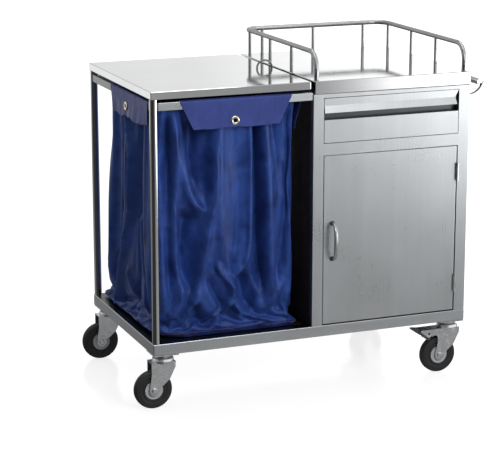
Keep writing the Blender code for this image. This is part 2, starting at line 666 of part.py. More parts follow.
base_frame()
posts_and_rails()
linen_bag()
bag_flaps()
lid()
hinges()
cabinet_shell()
cabinet_front_frame()
cabinet_top()
guard_rail()
push_handle()
drawer()
drawer_runners()
door()
castors()
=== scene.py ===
import math

import bmesh
import bpy
import numpy as np
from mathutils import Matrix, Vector


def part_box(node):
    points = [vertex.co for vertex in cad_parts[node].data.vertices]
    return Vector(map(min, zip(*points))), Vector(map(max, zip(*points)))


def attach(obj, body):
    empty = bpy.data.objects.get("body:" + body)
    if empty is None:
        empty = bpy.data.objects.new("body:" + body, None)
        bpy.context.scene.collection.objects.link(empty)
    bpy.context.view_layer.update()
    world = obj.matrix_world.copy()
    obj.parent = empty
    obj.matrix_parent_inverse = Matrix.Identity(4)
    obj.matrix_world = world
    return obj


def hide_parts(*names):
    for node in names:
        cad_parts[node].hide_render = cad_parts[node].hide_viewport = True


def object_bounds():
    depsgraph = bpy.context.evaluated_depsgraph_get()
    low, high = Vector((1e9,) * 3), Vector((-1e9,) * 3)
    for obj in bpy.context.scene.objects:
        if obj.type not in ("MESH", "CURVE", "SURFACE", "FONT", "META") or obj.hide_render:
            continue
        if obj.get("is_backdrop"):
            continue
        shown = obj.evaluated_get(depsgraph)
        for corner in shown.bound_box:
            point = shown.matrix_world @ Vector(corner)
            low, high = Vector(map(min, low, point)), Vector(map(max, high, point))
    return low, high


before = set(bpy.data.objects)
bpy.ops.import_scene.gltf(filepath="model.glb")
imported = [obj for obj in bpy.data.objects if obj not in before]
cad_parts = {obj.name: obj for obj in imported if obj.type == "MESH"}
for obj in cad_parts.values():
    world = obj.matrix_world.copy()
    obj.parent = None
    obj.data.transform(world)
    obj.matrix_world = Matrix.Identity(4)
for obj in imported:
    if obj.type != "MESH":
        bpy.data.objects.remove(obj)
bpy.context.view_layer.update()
scene = bpy.context.scene

MIX_FACTOR, MIX_A, MIX_B, MIX_OUT = 0, 2, 3, 0  # a Mix node's sockets for numbers
COLOR_A, COLOR_B, COLOR_OUT = 6, 7, 2  # and for colours, where the factor is the same


# Materials ---------------------------------------------------------------------------------------
class Look:
    """A Principled material, with short calls that wire procedural detail into it."""

    def __init__(self, name, color, metallic=0.0, roughness=0.5, **sockets):
        self.material = bpy.data.materials.new(name)
        self.material.use_nodes = True
        self.tree = self.material.node_tree
        self.shader = self.tree.nodes["Principled BSDF"]
        self.shader.inputs["Base Color"].default_value = (*color, 1)
        self.shader.inputs["Metallic"].default_value = metallic
        self.shader.inputs["Roughness"].default_value = roughness
        for socket, value in sockets.items():
            self.shader.inputs[socket.replace("_", " ")].default_value = value
        self.height = None

    def node(self, kind, **values):
        made = self.tree.nodes.new(kind)
        for key, value in values.items():
            if key in made.inputs:
                made.inputs[key].default_value = value
            else:
                setattr(made, key, value)
        return made

    def link(self, a, b):
        self.tree.links.new(a, b)

    def place(self, scale=(1, 1, 1)):
        """The piece's own coordinates in metres, stretched by scale."""
        coordinates = self.node("ShaderNodeTexCoord")
        mapping = self.node("ShaderNodeMapping")
        mapping.inputs["Scale"].default_value = scale
        self.link(coordinates.outputs["Object"], mapping.inputs["Vector"])
        return mapping.outputs["Vector"]

    def noise(self, scale, stretch=(1, 1, 1), detail=3.0, roughness=0.5, distortion=0.0):
        texture = self.node("ShaderNodeTexNoise", Scale=scale, Detail=detail, Roughness=roughness,
                            Distortion=distortion)
        self.link(self.place(stretch), texture.inputs["Vector"])
        return texture.outputs["Fac"]

    def voronoi(self, scale):
        texture = self.node("ShaderNodeTexVoronoi", Scale=scale)
        self.link(self.place(), texture.inputs["Vector"])
        return texture.outputs["Distance"]

    def wave(self, scale, direction):
        texture = self.node("ShaderNodeTexWave", Scale=scale)
        texture.bands_direction = direction
        self.link(self.place(), texture.inputs["Vector"])
        return texture.outputs["Fac"]

    def spread(self, value, low, high, start=0.3, end=0.7):
        """value from start to end becomes low to high."""
        changed = self.node("ShaderNodeMapRange")
        changed.interpolation_type = "SMOOTHSTEP"
        self.link(value, changed.inputs["Value"])
        for key, number in (("From Min", start), ("From Max", end), ("To Min", low), ("To Max", high)):
            changed.inputs[key].default_value = number
        return changed.outputs["Result"]

    def math(self, operation, a, b):
        made = self.node("ShaderNodeMath")
        made.operation = operation
        for socket, value in zip(made.inputs, (a, b)):
            if isinstance(value, (int, float)):
                socket.default_value = value
            else:
                self.link(value, socket)
        return made.outputs[0]

    def colors(self, value, stops):
        """A colour for each value from 0 to 1: stops are (value, colour)."""
        ramp = self.node("ShaderNodeValToRGB")
        ramp.color_ramp.elements.remove(ramp.color_ramp.elements[1])
        for i, (position, color) in enumerate(stops):
            stop = ramp.color_ramp.elements[0] if i == 0 else ramp.color_ramp.elements.new(position)
            stop.position = position
            stop.color = (*color, 1)
        self.link(value, ramp.inputs["Fac"])
        return ramp.outputs["Color"]

    def tint(self, color, value, amount):
        """color darkened by value, which is from 0 to 1, by up to amount."""
        mix = self.node("ShaderNodeMix", data_type="RGBA", blend_type="MULTIPLY")
        mix.inputs[MIX_FACTOR].default_value = 1.0
        gray = self.colors(value, ((0.25, (1 - amount,) * 3), (0.75, (1.0,) * 3)))
        if isinstance(color, tuple):
            mix.inputs[COLOR_A].default_value = (*color, 1)
        else:
            self.link(color, mix.inputs[COLOR_A])
        self.link(gray, mix.inputs[COLOR_B])
        return mix.outputs[COLOR_OUT]

    def color(self, value):
        self.link(value, self.shader.inputs["Base Color"])

    def rough(self, value):
        self.link(value, self.shader.inputs["Roughness"])

    def bump(self, value, strength, distance):
        """Relief by value, on top of any that was added before."""
        made = self.node("ShaderNodeBump", Strength=strength, Distance=distance)
        self.link(value, made.inputs["Height"])
        if self.height is not None:
            self.link(self.height, made.inputs["Normal"])
        self.height = made.outputs["Normal"]
        self.link(self.height, self.shader.inputs["Normal"])


def brushed(name, color, roughness, fine, depth=0.05, streak=0.055, smudge=0.06, clear=0.035):
    """Stainless steel with brush lines: fine is the lines' frequency along X, Y and Z, least along them.

    depth is the strength of the lines' relief, streak and smudge how much lines and cloudy patches darken
    it, and clear how much the roughness varies.
    """
    look = Look(name, color, 1.0, roughness)
    lines = look.noise(1.0, fine, detail=2)
    bands = look.noise(1.0, tuple(s * 0.15 for s in fine), detail=2)
    cloud = look.noise(5.0, detail=3)
    spots = look.noise(38.0, detail=2)
    look.color(look.tint(look.tint(look.tint(color, lines, streak), bands, streak * 1.2), cloud, smudge))
    wear = look.spread(spots, -clear * 0.3, clear * 0.3)
    grain = look.spread(lines, roughness - clear * 0.3, roughness + clear * 0.3)
    patch = look.spread(cloud, -clear * 0.6, clear * 0.6)
    look.rough(look.math("ADD", look.math("ADD", grain, wear), patch))
    look.bump(bands, depth, 0.0008)
    return look.material


def polished(name, color, roughness, along):
    """Polished steel with faint draw lines and finger marks."""
    look = Look(name, color, 1.0, roughness)
    lines = look.noise(1.0, along, detail=3)
    marks = look.noise(26.0, detail=5, roughness=0.6, distortion=0.6)
    cloud = look.noise(4.0, detail=2)
    look.color(look.tint(look.tint(color, lines, 0.05), cloud, 0.05))
    look.rough(look.math("ADD", look.spread(marks, roughness * 0.7, roughness * 1.5),
                         look.spread(lines, -0.01, 0.02)))
    look.bump(lines, 0.05, 0.00003)
    return look.material


def zinc(name, color, roughness):
    """Plated pressed steel: cloudy patches, fine pits and slightly duller hollows."""
    look = Look(name, color, 0.95, roughness)
    cloud = look.noise(55.0, detail=3, distortion=0.8)
    cells = look.voronoi(240.0)
    pits = look.noise(900.0, detail=2)
    look.color(look.tint(look.tint(color, cloud, 0.22), cells, 0.08))
    look.rough(look.math("ADD", look.spread(cloud, roughness - 0.07, roughness + 0.09),
                         look.spread(pits, -0.03, 0.03)))
    look.bump(pits, 0.05, 0.00003)
    return look.material


def painted_shade_sheet(name, color, roughness):
    """Sheet coloured near black as painted shade for the bag bay, with faint roll marks and dust."""
    look = Look(name, color, 0.85, roughness)
    marks = look.noise(1.0, (260, 260, 9), detail=3)
    dust = look.noise(9.0, detail=5, roughness=0.7)
    look.color(look.tint(look.tint(color, marks, 0.25), dust, 0.25))
    look.rough(look.spread(dust, roughness - 0.08, roughness + 0.12))
    look.bump(marks, 0.1, 0.00005)
    return look.material


def nylon(name, deep, light, roughness, weave=130.0):
    """Coated nylon: a close plain weave under a satin coat, crinkled, and clouded from deep to light."""
    look = Look(name, deep, 0.0, roughness, Specular_IOR_Level=0.34, Sheen_Weight=0.03, Sheen_Roughness=0.5,
                Coat_Weight=0.05, Coat_Roughness=0.30, Specular_Tint=(0.70, 0.80, 1.0, 1.0))
    cloud = look.noise(11.0, detail=4, roughness=0.55, distortion=0.4)
    rub = look.noise(70.0, (1, 1, 0.35), detail=4, roughness=0.6)
    base = look.colors(cloud, ((0.30, deep), (0.72, light)))
    across = look.math("MULTIPLY", look.wave(weave, "X"), look.wave(weave, "Z"))
    threads = look.math("MAXIMUM", across, look.wave(weave, "Y"))
    look.color(look.tint(look.tint(base, rub, 0.18), threads, 0.10))
    look.rough(look.math("ADD", look.spread(rub, roughness - 0.06, roughness + 0.08),
                         look.spread(cloud, -0.04, 0.04)))
    crinkle = look.noise(42.0, (1, 1, 0.5), detail=5, roughness=0.62, distortion=0.5)
    look.bump(crinkle, 0.60, 0.0024)
    look.bump(threads, 0.12, 0.0002)
    return look.material


def rubber(name, color, roughness):
    """Tyre rubber with moulding bloom, dust in the grain and scuffs on the tread."""
    look = Look(name, color, 0.0, roughness, Specular_IOR_Level=0.4)
    bloom = look.noise(30.0, detail=5, roughness=0.65)
    grain = look.noise(700.0, detail=2)
    scuff = look.noise(140.0, detail=4, distortion=1.2)
    dust = (0.085, 0.082, 0.078)
    look.color(look.colors(bloom, ((0.3, color), (0.62, tuple(c * 1.5 for c in color)), (0.8, dust))))
    look.rough(look.math("ADD", look.spread(bloom, roughness - 0.08, roughness + 0.14),
                         look.spread(scuff, -0.05, 0.05)))
    look.bump(grain, 0.3, 0.0001)
    look.bump(scuff, 0.15, 0.0003)
    return look.material


def moulded(name, color, roughness):
    """Moulded plastic with a fine spark-eroded grain."""
    look = Look(name, color, 0.0, roughness, Specular_IOR_Level=0.45)
    cloud = look.noise(45.0, detail=4)
    grain = look.noise(1100.0, detail=2)
    look.color(look.tint(color, cloud, 0.16))
    look.rough(look.spread(cloud, roughness - 0.06, roughness + 0.08))
    look.bump(grain, 0.25, 0.00008)
    return look.material


def painted(name, color, roughness):
    """Black paint on pressed steel, rubbed and slightly orange-peeled."""
    look = Look(name, color, 0.0, roughness, Specular_IOR_Level=0.5, Coat_Weight=0.3, Coat_Roughness=0.2)
    rub = look.noise(120.0, detail=5, roughness=0.7)
    worn = (0.09, 0.09, 0.095)
    look.color(look.colors(rub, ((0.35, color), (0.7, tuple(c * 2 for c in color)), (0.86, worn))))
    look.rough(look.spread(rub, roughness - 0.08, roughness + 0.12))
    look.bump(look.noise(500.0, detail=2), 0.2, 0.0001)
    return look.material


def dimmed(material, name, ramps, dim):
    """A copy of material with painted shade: dimmer where all ramps, each (coordinates, axis, start, end),
    are at their end.
    """
    copy = material.copy()
    copy.name = name
    nodes, links = copy.node_tree.nodes, copy.node_tree.links
    shader = nodes["Principled BSDF"]
    coordinates = nodes.new("ShaderNodeTexCoord")
    share = None
    for source, axis, start, end in ramps:
        split = nodes.new("ShaderNodeSeparateXYZ")
        links.new(coordinates.outputs[source], split.inputs[0])
        ramp = nodes.new("ShaderNodeMapRange")
        links.new(split.outputs[axis], ramp.inputs["Value"])
        ramp.inputs["From Min"].default_value, ramp.inputs["From Max"].default_value = start, end
        if share:
            both = nodes.new("ShaderNodeMath")
            both.operation = "MULTIPLY"
            links.new(share, both.inputs[0])
            links.new(ramp.outputs["Result"], both.inputs[1])
            share = both.outputs[0]
        else:
            share = ramp.outputs["Result"]
    mix = nodes.new("ShaderNodeMix")
    mix.data_type, mix.blend_type = "RGBA", "MULTIPLY"
    links.new(share, mix.inputs[MIX_FACTOR])
    links.new(shader.inputs["Base Color"].links[0].from_socket, mix.inputs[COLOR_A])
    mix.inputs[COLOR_B].default_value = (dim, dim, dim, 1)
    links.new(mix.outputs[COLOR_OUT], shader.inputs["Base Color"])
    return copy


STEEL = (0.532, 0.553, 0.569)
UPRIGHT = brushed("steel_upright", STEEL, 0.30, (170, 170, 2.5))
LEVEL = brushed("steel_level", STEEL, 0.30, (3, 3, 210))
TOP = brushed("steel_top", (0.66, 0.665, 0.675), 0.075, (3, 170, 170), depth=0.02, streak=0.03, clear=0.02)
TUBE = polished("steel_tube", (0.64, 0.645, 0.65), 0.08, (60, 60, 400))
SHADED = brushed("steel_shaded", (0.20, 0.205, 0.21), 0.34, (3, 3, 210))
# painted shade: the drawer front darkened behind its face, in the pull's hollow
PULL_SHADE = dimmed(UPRIGHT, "steel_pull_painted_shade", [("Object", "Y", -0.3035, -0.2995)], 0.16)
# painted shade: the base frame's top darkened to near black inside its front and left edges
BASE_TOP_SHADE = dimmed(LEVEL, "steel_base_painted_shade", [("Object", "Z", 0.2190, 0.2197), ("Object", "Y", -0.3045, -0.3035),
                                    ("Object", "X", -0.5485, -0.5475)], 0.06)
RAIL = dimmed(polished("steel_rail", (0.40, 0.405, 0.41), 0.30, (60, 60, 400)), "steel_rail_shaded",
              [("Normal", "Z", 0.1, -0.5)], 0.30)
BOW = polished("steel_bow", (0.26, 0.26, 0.265), 0.14, (60, 60, 400))
GRIP = polished("steel_grip", (0.40, 0.405, 0.41), 0.24, (400, 400, 60))
# near black for the bag bay's left wall and floor: painted shade
BAY_SHADE = painted_shade_sheet("steel_bay_painted_shade", (0.072, 0.048, 0.050), 0.50)
PLATED = zinc("zinc_plated", (0.66, 0.67, 0.68), 0.21)
PEDAL = painted("pedal_paint", (0.018, 0.018, 0.020), 0.38)
HUB = moulded("hub_grey", (0.36, 0.37, 0.38), 0.38)
TYRE = rubber("tyre_rubber", (0.010, 0.0095, 0.010), 0.58)
CLOTH = nylon("bag_nylon", (0.006, 0.019, 0.112), (0.024, 0.069, 0.296), 0.44)
FLAP = nylon("flap_nylon", (0.026, 0.040, 0.180), (0.040, 0.060, 0.240), 0.52)
PIPING = nylon("piping_nylon", (0.050, 0.028, 0.075), (0.100, 0.055, 0.110), 0.55)
NICKEL = polished("nickel", (0.62, 0.58, 0.47), 0.16, (300, 300, 300))


# Mesh helpers ------------------------------------------------------------------------------------
def piece(name, verts, faces, material, body="root", slot=None, smooth=True):
    """A mesh piece in the row frame that rides on a body."""
    mesh = bpy.data.meshes.new(name)
    mesh.from_pydata([tuple(map(float, v)) for v in verts], [], faces)
    mesh.materials.append(material)
    mesh.update()
    made = bpy.data.objects.new(name, mesh)
    scene.collection.objects.link(made)
    if smooth:
        mesh.shade_smooth()
    if body:
        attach(made, body)
    return made


def grid_faces(rows, columns, closed=False, offset=0):
    """Quads of a grid of rows by columns points; closed joins the last column to the first."""
    across = columns if closed else columns - 1
    return [
        (offset + r * columns + c, offset + r * columns + (c + 1) % columns,
         offset + (r + 1) * columns + (c + 1) % columns, offset + (r + 1) * columns + c)
        for r in range(rows - 1) for c in range(across)
    ]


def lathe(name, profile, centre, axis, material, body="root", slot=None, steps=40):
    """A ring turned about axis through centre: profile is (radius, height along the axis), closed."""
    axis = Vector(axis).normalized()
    side = axis.orthogonal().normalized()
    other = axis.cross(side)
    centre = Vector(centre)
    verts = []
    for i in range(steps):
        angle = math.tau * i / steps
        out = side * math.cos(angle) + other * math.sin(angle)
        verts += [centre + out * radius + axis * height for radius, height in profile]
    count = len(profile)
    faces = [
        (i * count + j, i * count + (j + 1) % count,
         (i + 1) % steps * count + (j + 1) % count, (i + 1) % steps * count + j)
        for i in range(steps) for j in range(count)
    ]
    return piece(name, verts, faces, material, body, slot)


def thicken(made, thickness, offset=-1.0):
    wall = made.modifiers.new("wall", "SOLIDIFY")
    wall.thickness = thickness
    wall.offset = offset


def finer(made, levels=1):
    step = made.modifiers.new("finer", "SUBSURF")
    step.levels = step.render_levels = levels


def smoothstep(x, low, high):
    t = np.clip((x - low) / (high - low), 0, 1)
    return t * t * (3 - 2 * t)


# CAD nodes' finishes -----------------------------------------------------------------------------
FINISH = (  # a material, and how the names of its nodes start or end; the first row that fits counts
    (TYRE, ("_tyre",)),
    (HUB, ("_hub",)),
    (PEDAL, ("_pedal",)),
    (PULL_SHADE, ("drawer_front",)),
    (BASE_TOP_SHADE, ("base_frame",)),
    (RAIL, ("guard_rail",)),
    (BOW, ("lid_pull",)),
    (SHADED, ("top_rail_left", "top_rail_rear", "bag_rail")),
    (PLATED, ("lid_hinge", "door_hinge", "drawer_slide", "drawer_runner", "castor")),
    (TUBE, ("post", "push_bar", "door_handle")),
    (BAY_SHADE, ("cabinet_side_left", "base_floor")),
    (TOP, ("lid", "cabinet_top")),
    (UPRIGHT, ("cabinet_front_frame", "cabinet_side_right", "cabinet_back", "door")),
    (LEVEL, ("top_rail", "cabinet_shelf", "drawer_box", "push_bracket")),
    (CLOTH, ("",)),
)
for name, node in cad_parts.items():
    chosen = next(look for look, parts in FINISH
                  if any(name.startswith(part) or name.endswith(part) for part in parts))
    node.data.materials.clear()
    node.data.materials.append(chosen)

ROUNDING = (  # width of the small rounded corners of folded sheet, and the nodes that have them
    (0.0016, ("base_frame", "top_rail_front", "top_rail_left", "top_rail_rear")),
    (0.0012, ("lid", "cabinet_top", "door")),
    (0.0010, ("drawer_front",)),
    (0.0008, ("cabinet_front_frame", "cabinet_side_right", "push_bracket_front", "push_bracket_rear")),
)
for width, names in ROUNDING:
    for name in names:
        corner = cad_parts[name].modifiers.new("corner", "BEVEL")
        corner.width = width
        corner.segments = 2
        corner.limit_method = "ANGLE"
        corner.angle_limit = math.radians(50)
        corner.harden_normals = True


# Tyres -------------------------------------------------------------------------------------------
HALF_TYRE = (  # radius, distance from the wheel's middle
    (0.0625, 0.0000), (0.0625, 0.0048), (0.0612, 0.0056), (0.0612, 0.0066),  # tread and groove
    (0.0622, 0.0074), (0.0612, 0.0108), (0.0585, 0.0140), (0.0545, 0.0156),  # shoulder
    (0.0535, 0.0150), (0.0520, 0.0150), (0.0510, 0.0158), (0.0470, 0.0160),  # side wall with a moulded ring
    (0.0425, 0.0152), (0.0415, 0.0143), (0.0385, 0.0140), (0.0372, 0.0150),
    (0.0345, 0.0150), (0.0330, 0.0138), (0.0304, 0.0128), (0.0304, 0.0000),  # rim bead
)
for corner in ("front_left", "front_right", "rear_left", "rear_right"):
    low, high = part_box(f"castor_{corner}_tyre")
    middle = [(a + b) / 2 for a, b in zip(low, high)]
    profile = list(HALF_TYRE[:-1]) + [(r, -h) for r, h in HALF_TYRE[-2:0:-1]]
    tread = lathe(f"castor_{corner}_tread", profile, middle, (0, 1, 0), TYRE, body=f"castor_{corner}_wheel",
                  slot="tyre", steps=72)
    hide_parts(f"castor_{corner}_tyre")
    crimp = tread.modifiers.new("crimp", "BEVEL")
    crimp.width, crimp.segments, crimp.limit_method = 0.0004, 1, "ANGLE"


# Door handle -------------------------------------------------------------------------------------
HANDLE_FOOT = (  # radius, distance from the door
    (0.0001, -0.0070), (0.0058, -0.0066), (0.0070, -0.0050), (0.0078, -0.0016), (0.0082, 0.0), (0.0001, 0.0),
)


def bow_handle():
    """A pressed bow, broadest and flattest at its middle, on two dark feet."""
    low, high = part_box("door_handle")
    x, face = (low[0] + high[0]) / 2, high[1]
    middle, half, reach = (low[2] + high[2]) / 2, (high[2] - low[2]) / 2 - 0.005, face - low[1] - 0.0045
    steps, around = 49, 14
    line = [(face - reach * math.sin(math.pi * t) ** 0.55, middle + half * math.cos(math.pi * t))
            for t in np.linspace(0.004, 0.996, steps)]
    verts = []
    for i, (y, z) in enumerate(line):
        before, after = line[max(i - 1, 0)], line[min(i + 1, steps - 1)]
        along = Vector((0, after[0] - before[0], after[1] - before[1])).normalized()
        out = along.cross(Vector((1, 0, 0)))
        swell = math.sin(math.pi * i / (steps - 1))
        for turn in np.arange(around) * math.tau / around:
            side = (0.0048 + 0.0020 * swell) * math.cos(turn)
            lift = (0.0042 - 0.0006 * swell) * math.sin(turn)
            verts.append(Vector((x + side, y, z)) + out * lift)
    faces = grid_faces(steps, around, closed=True)
    faces += [tuple(range(around))[::-1], tuple((steps - 1) * around + j for j in range(around))]
    made = piece("handle_bow", verts, faces, GRIP, body="door", slot="polished_steel")
    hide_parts("door_handle")
    for end, z in (("upper", middle + half), ("lower", middle - half)):
        lathe(f"handle_foot_{end}", HANDLE_FOOT, (x, face, z), (0, 1, 0), PEDAL, body="door",
              slot="polished_steel", steps=28)


bow_handle()


# Push brackets -----------------------------------------------------------------------------------
SCOOP_X, SCOOP_Z = 0.552, 0.9985  # the middle of the round scoop in each bracket
FLANGE_INNER, FLANGE_OUTER = 0.0484, 0.0502


def flange(name, middle, half):
    """The folded flange along a bracket's scoop, half to each side of middle."""
    angles = np.radians(np.linspace(-88, -20, 22))
    verts = []
    for turn in angles:
        for radius, side in ((FLANGE_OUTER, -1), (FLANGE_OUTER, 1), (FLANGE_INNER, 1), (FLANGE_INNER, -1)):
            verts.append((SCOOP_X + radius * math.cos(turn), middle + side * half,
                          SCOOP_Z + radius * math.sin(turn)))
    faces = [(i * 4 + j, i * 4 + (j + 1) % 4, i * 4 + 4 + (j + 1) % 4, i * 4 + 4 + j)
             for i in range(len(angles) - 1) for j in range(4)]
    faces += [(3, 2, 1, 0), tuple(len(verts) - 4 + j for j in range(4))]
    made = piece(name, verts, faces, SHADED, slot="polished_steel", smooth=False)
    rounded = made.modifiers.new("corner", "BEVEL")
    rounded.width, rounded.segments = 0.0005, 2


for end in ("front", "rear"):
    low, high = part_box(f"push_bracket_{end}")
    flange(f"push_flange_{end}", (low[1] + high[1]) / 2, 0.0055)


# Linen bag ---------------------------------------------------------------------------------------
BAG_SECTIONS = (  # height, left, right, front, back, corner radius, radius of the front left corner
    (0.2110, -0.499, -0.042, -0.246, 0.280, 0.020, 0.100),
    (0.2350, -0.527, -0.038, -0.257, 0.308, 0.008, 0.085),
    (0.2600, -0.519, -0.050, -0.257, 0.290, 0.014, 0.055),
    (0.2900, -0.511, -0.055, -0.259, 0.266, 0.020, 0.042),
    (0.3400, -0.514, -0.058, -0.263, 0.248, 0.026, 0.034),
    (0.5700, -0.5245, -0.0600, -0.276, 0.234, 0.026, 0.026),
    (0.7500, -0.5250, -0.0600, -0.2805, 0.213, 0.020, 0.020),
    (0.8600, -0.5250, -0.0595, -0.2810, 0.2065, 0.014, 0.014),
    (0.9880, -0.5250, -0.0595, -0.2810, 0.2065, 0.012, 0.012),
)
COLUMNS = 220
ROWS = 92
RIM, FOOT = 0.988, 0.2120  # heights of the bag's mouth and of its floor
MIDDLE = np.array([-0.267, 0.024])  # of the bag's floor
SHARES = (0.93, 0.84, 0.74, 0.62, 0.50, 0.38, 0.27, 0.17)  # rings of the bag's floor
FRONT_DEPTH, LEFT_DEPTH = 2.0, 1.9  # what the amounts below are multiplied by
HEM_ROW = ROWS - 3
HEM_HEIGHT = 0.229
HEM_SIDES = 8
FRONT_FOLDS = (  # height out of the cloth, half width, how sharp, and a line down it as (height, x)
    (0.018, 0.012, 0.9, ((0.96, -0.504), (0.60, -0.500), (0.34, -0.502))),
    (-0.016, 0.012, 0.3, ((0.93, -0.488), (0.60, -0.492), (0.42, -0.482))),
    (0.018, 0.017, 0.9, ((0.95, -0.472), (0.80, -0.470), (0.60, -0.478), (0.47, -0.465), (0.40, -0.446),
                         (0.35, -0.452), (0.29, -0.485))),
    (0.013, 0.024, 0.4, ((0.94, -0.470), (0.795, -0.448), (0.70, -0.432), (0.665, -0.405), (0.65, -0.376))),
    (-0.022, 0.040, 0.1, ((0.90, -0.400), (0.80, -0.394), (0.72, -0.386))),
    (-0.026, 0.038, 0.2, ((0.62, -0.426), (0.53, -0.428), (0.43, -0.424))),
    (0.010, 0.012, 0.9, ((0.90, -0.328), (0.812, -0.348), (0.70, -0.336), (0.60, -0.366), (0.47, -0.392),
                         (0.35, -0.414), (0.27, -0.450))),
    (0.010, 0.011, 0.9, ((0.90, -0.206), (0.655, -0.199), (0.50, -0.208), (0.45, -0.222), (0.40, -0.274))),
    (-0.026, 0.020, 0.6, ((0.90, -0.190), (0.654, -0.181), (0.506, -0.176), (0.400, -0.162))),
    (0.013, 0.016, 0.9, ((0.92, -0.168), (0.618, -0.147), (0.46, -0.136), (0.33, -0.120))),
    (-0.010, 0.020, 0.2, ((0.90, -0.128), (0.62, -0.115), (0.42, -0.105))),
    (0.013, 0.010, 0.9, ((0.455, -0.324), (0.400, -0.280))),
    (0.016, 0.011, 0.9, ((0.415, -0.279), (0.341, -0.267), (0.300, -0.240))),
    (-0.012, 0.016, 0.3, ((0.470, -0.270), (0.425, -0.274))),
    (-0.018, 0.022, 0.3, ((0.415, -0.345), (0.330, -0.310))),
    (-0.020, 0.030, 0.3, ((0.405, -0.228), (0.310, -0.205))),
    (0.012, 0.014, 0.8, ((0.330, -0.285), (0.285, -0.345), (0.235, -0.425))),
    (0.012, 0.014, 0.8, ((0.320, -0.250), (0.280, -0.195), (0.235, -0.120))),
    (0.010, 0.012, 0.8, ((0.360, -0.100), (0.290, -0.075), (0.235, -0.060))),
    (-0.012, 0.022, 0.2, ((0.330, -0.400), (0.270, -0.370), (0.235, -0.330))),
)
LEFT_FOLDS = (  # the same, with each line as (height, y)
    (0.024, 0.014, 0.9, ((0.95, -0.024), (0.785, -0.070), (0.62, -0.066), (0.446, 0.030), (0.32, 0.120),
                         (0.26, 0.165))),
    (-0.026, 0.022, 0.4, ((0.95, -0.118), (0.72, -0.106), (0.56, -0.112), (0.42, -0.085), (0.32, -0.04))),
    (0.014, 0.030, 0.5, ((0.97, 0.120), (0.60, 0.130), (0.40, 0.170), (0.28, 0.22))),
    (0.016, 0.026, 0.6, ((0.97, -0.200), (0.60, -0.190), (0.40, -0.200), (0.28, -0.225))),
    (-0.020, 0.022, 0.3, ((0.97, 0.055), (0.60, 0.045), (0.46, 0.085), (0.36, 0.14))),
    (0.012, 0.012, 0.9, ((0.60, -0.150), (0.42, -0.140), (0.30, -0.110))),
    (0.010, 0.012, 0.9, ((0.40, 0.010), (0.32, -0.030), (0.24, -0.070))),
)
PANEL = (  # the wide flat fold between two lines down the front, as (height, left x, right x)
    (0.27, -0.450, -0.290), (0.35, -0.414, -0.280), (0.40, -0.402, -0.276), (0.47, -0.392, -0.215),
    (0.60, -0.366, -0.201), (0.70, -0.336, -0.199), (0.812, -0.348, -0.203), (0.90, -0.328, -0.207),
)


def bag_ring(height):
    """Points and outward directions round the bag at a height, from the middle of the front-left corner."""
    sections = np.array(BAG_SECTIONS)
    left, right, front, back, radius, cut = (
        np.interp(height, sections[:, 0], sections[:, k]) for k in range(1, 7))
    points, outward = [], []
    for x, y, start in ((left + cut, front + cut, 225), (right - radius, front + radius, 270),
                        (right - radius, back - radius, 0), (left + radius, back - radius, 90),
                        (left + cut, front + cut, 180)):
        arc = cut if y == front + cut else radius
        turn = np.radians(np.linspace(start, start + (45 if start in (225, 180) else 90), 8))
        points += [(x + arc * math.cos(a), y + arc * math.sin(a)) for a in turn]
        outward += [(math.cos(a), math.sin(a)) for a in turn]
    points, outward = np.array(points), np.array(outward)
    run = np.concatenate([[0], np.cumsum(np.hypot(*np.diff(points, axis=0).T))])
    at = np.arange(COLUMNS) / COLUMNS * run[-1]
    ring = np.stack([np.interp(at, run, points[:, k]) for k in (0, 1)], 1)
    normal = np.stack([np.interp(at, run, outward[:, k]) for k in (0, 1)], 1)
    return ring, normal / np.linalg.norm(normal, axis=1)[:, None]


def folds(table, height, along):
    """How far the folds of one side stand out at a height and a place along the side."""
    out = np.zeros_like(along)
    for amount, width, sharp, line in table:
        tops, places = zip(*sorted(line))
        centre = np.interp(height, tops, places)
        fade = smoothstep(height, tops[0] - 0.05, tops[0] + 0.02) \
            * (1 - smoothstep(height, tops[-1], tops[-1] + 0.03))
        tent = np.clip(1 - np.abs(along - centre) / (width * 1.5), 0, 1)
        out += amount * fade * (sharp * tent ** 1.4 + (1 - sharp) * smoothstep(tent, 0, 1))
    return out


def panel(height, along):
    """How far the wide flat fold stands out of the front."""
    heights, lefts, rights = zip(*PANEL)
    left, right = np.interp(height, heights, lefts), np.interp(height, heights, rights)
    fade = smoothstep(height, 0.26, 0.36) * (1 - smoothstep(height, 0.90, 0.97))
    begun = smoothstep(along, left - 0.014, left + 0.006)
    ended = smoothstep(along, right - 0.004, right + 0.012)
    return 0.014 * fade * begun * (1 - ended)


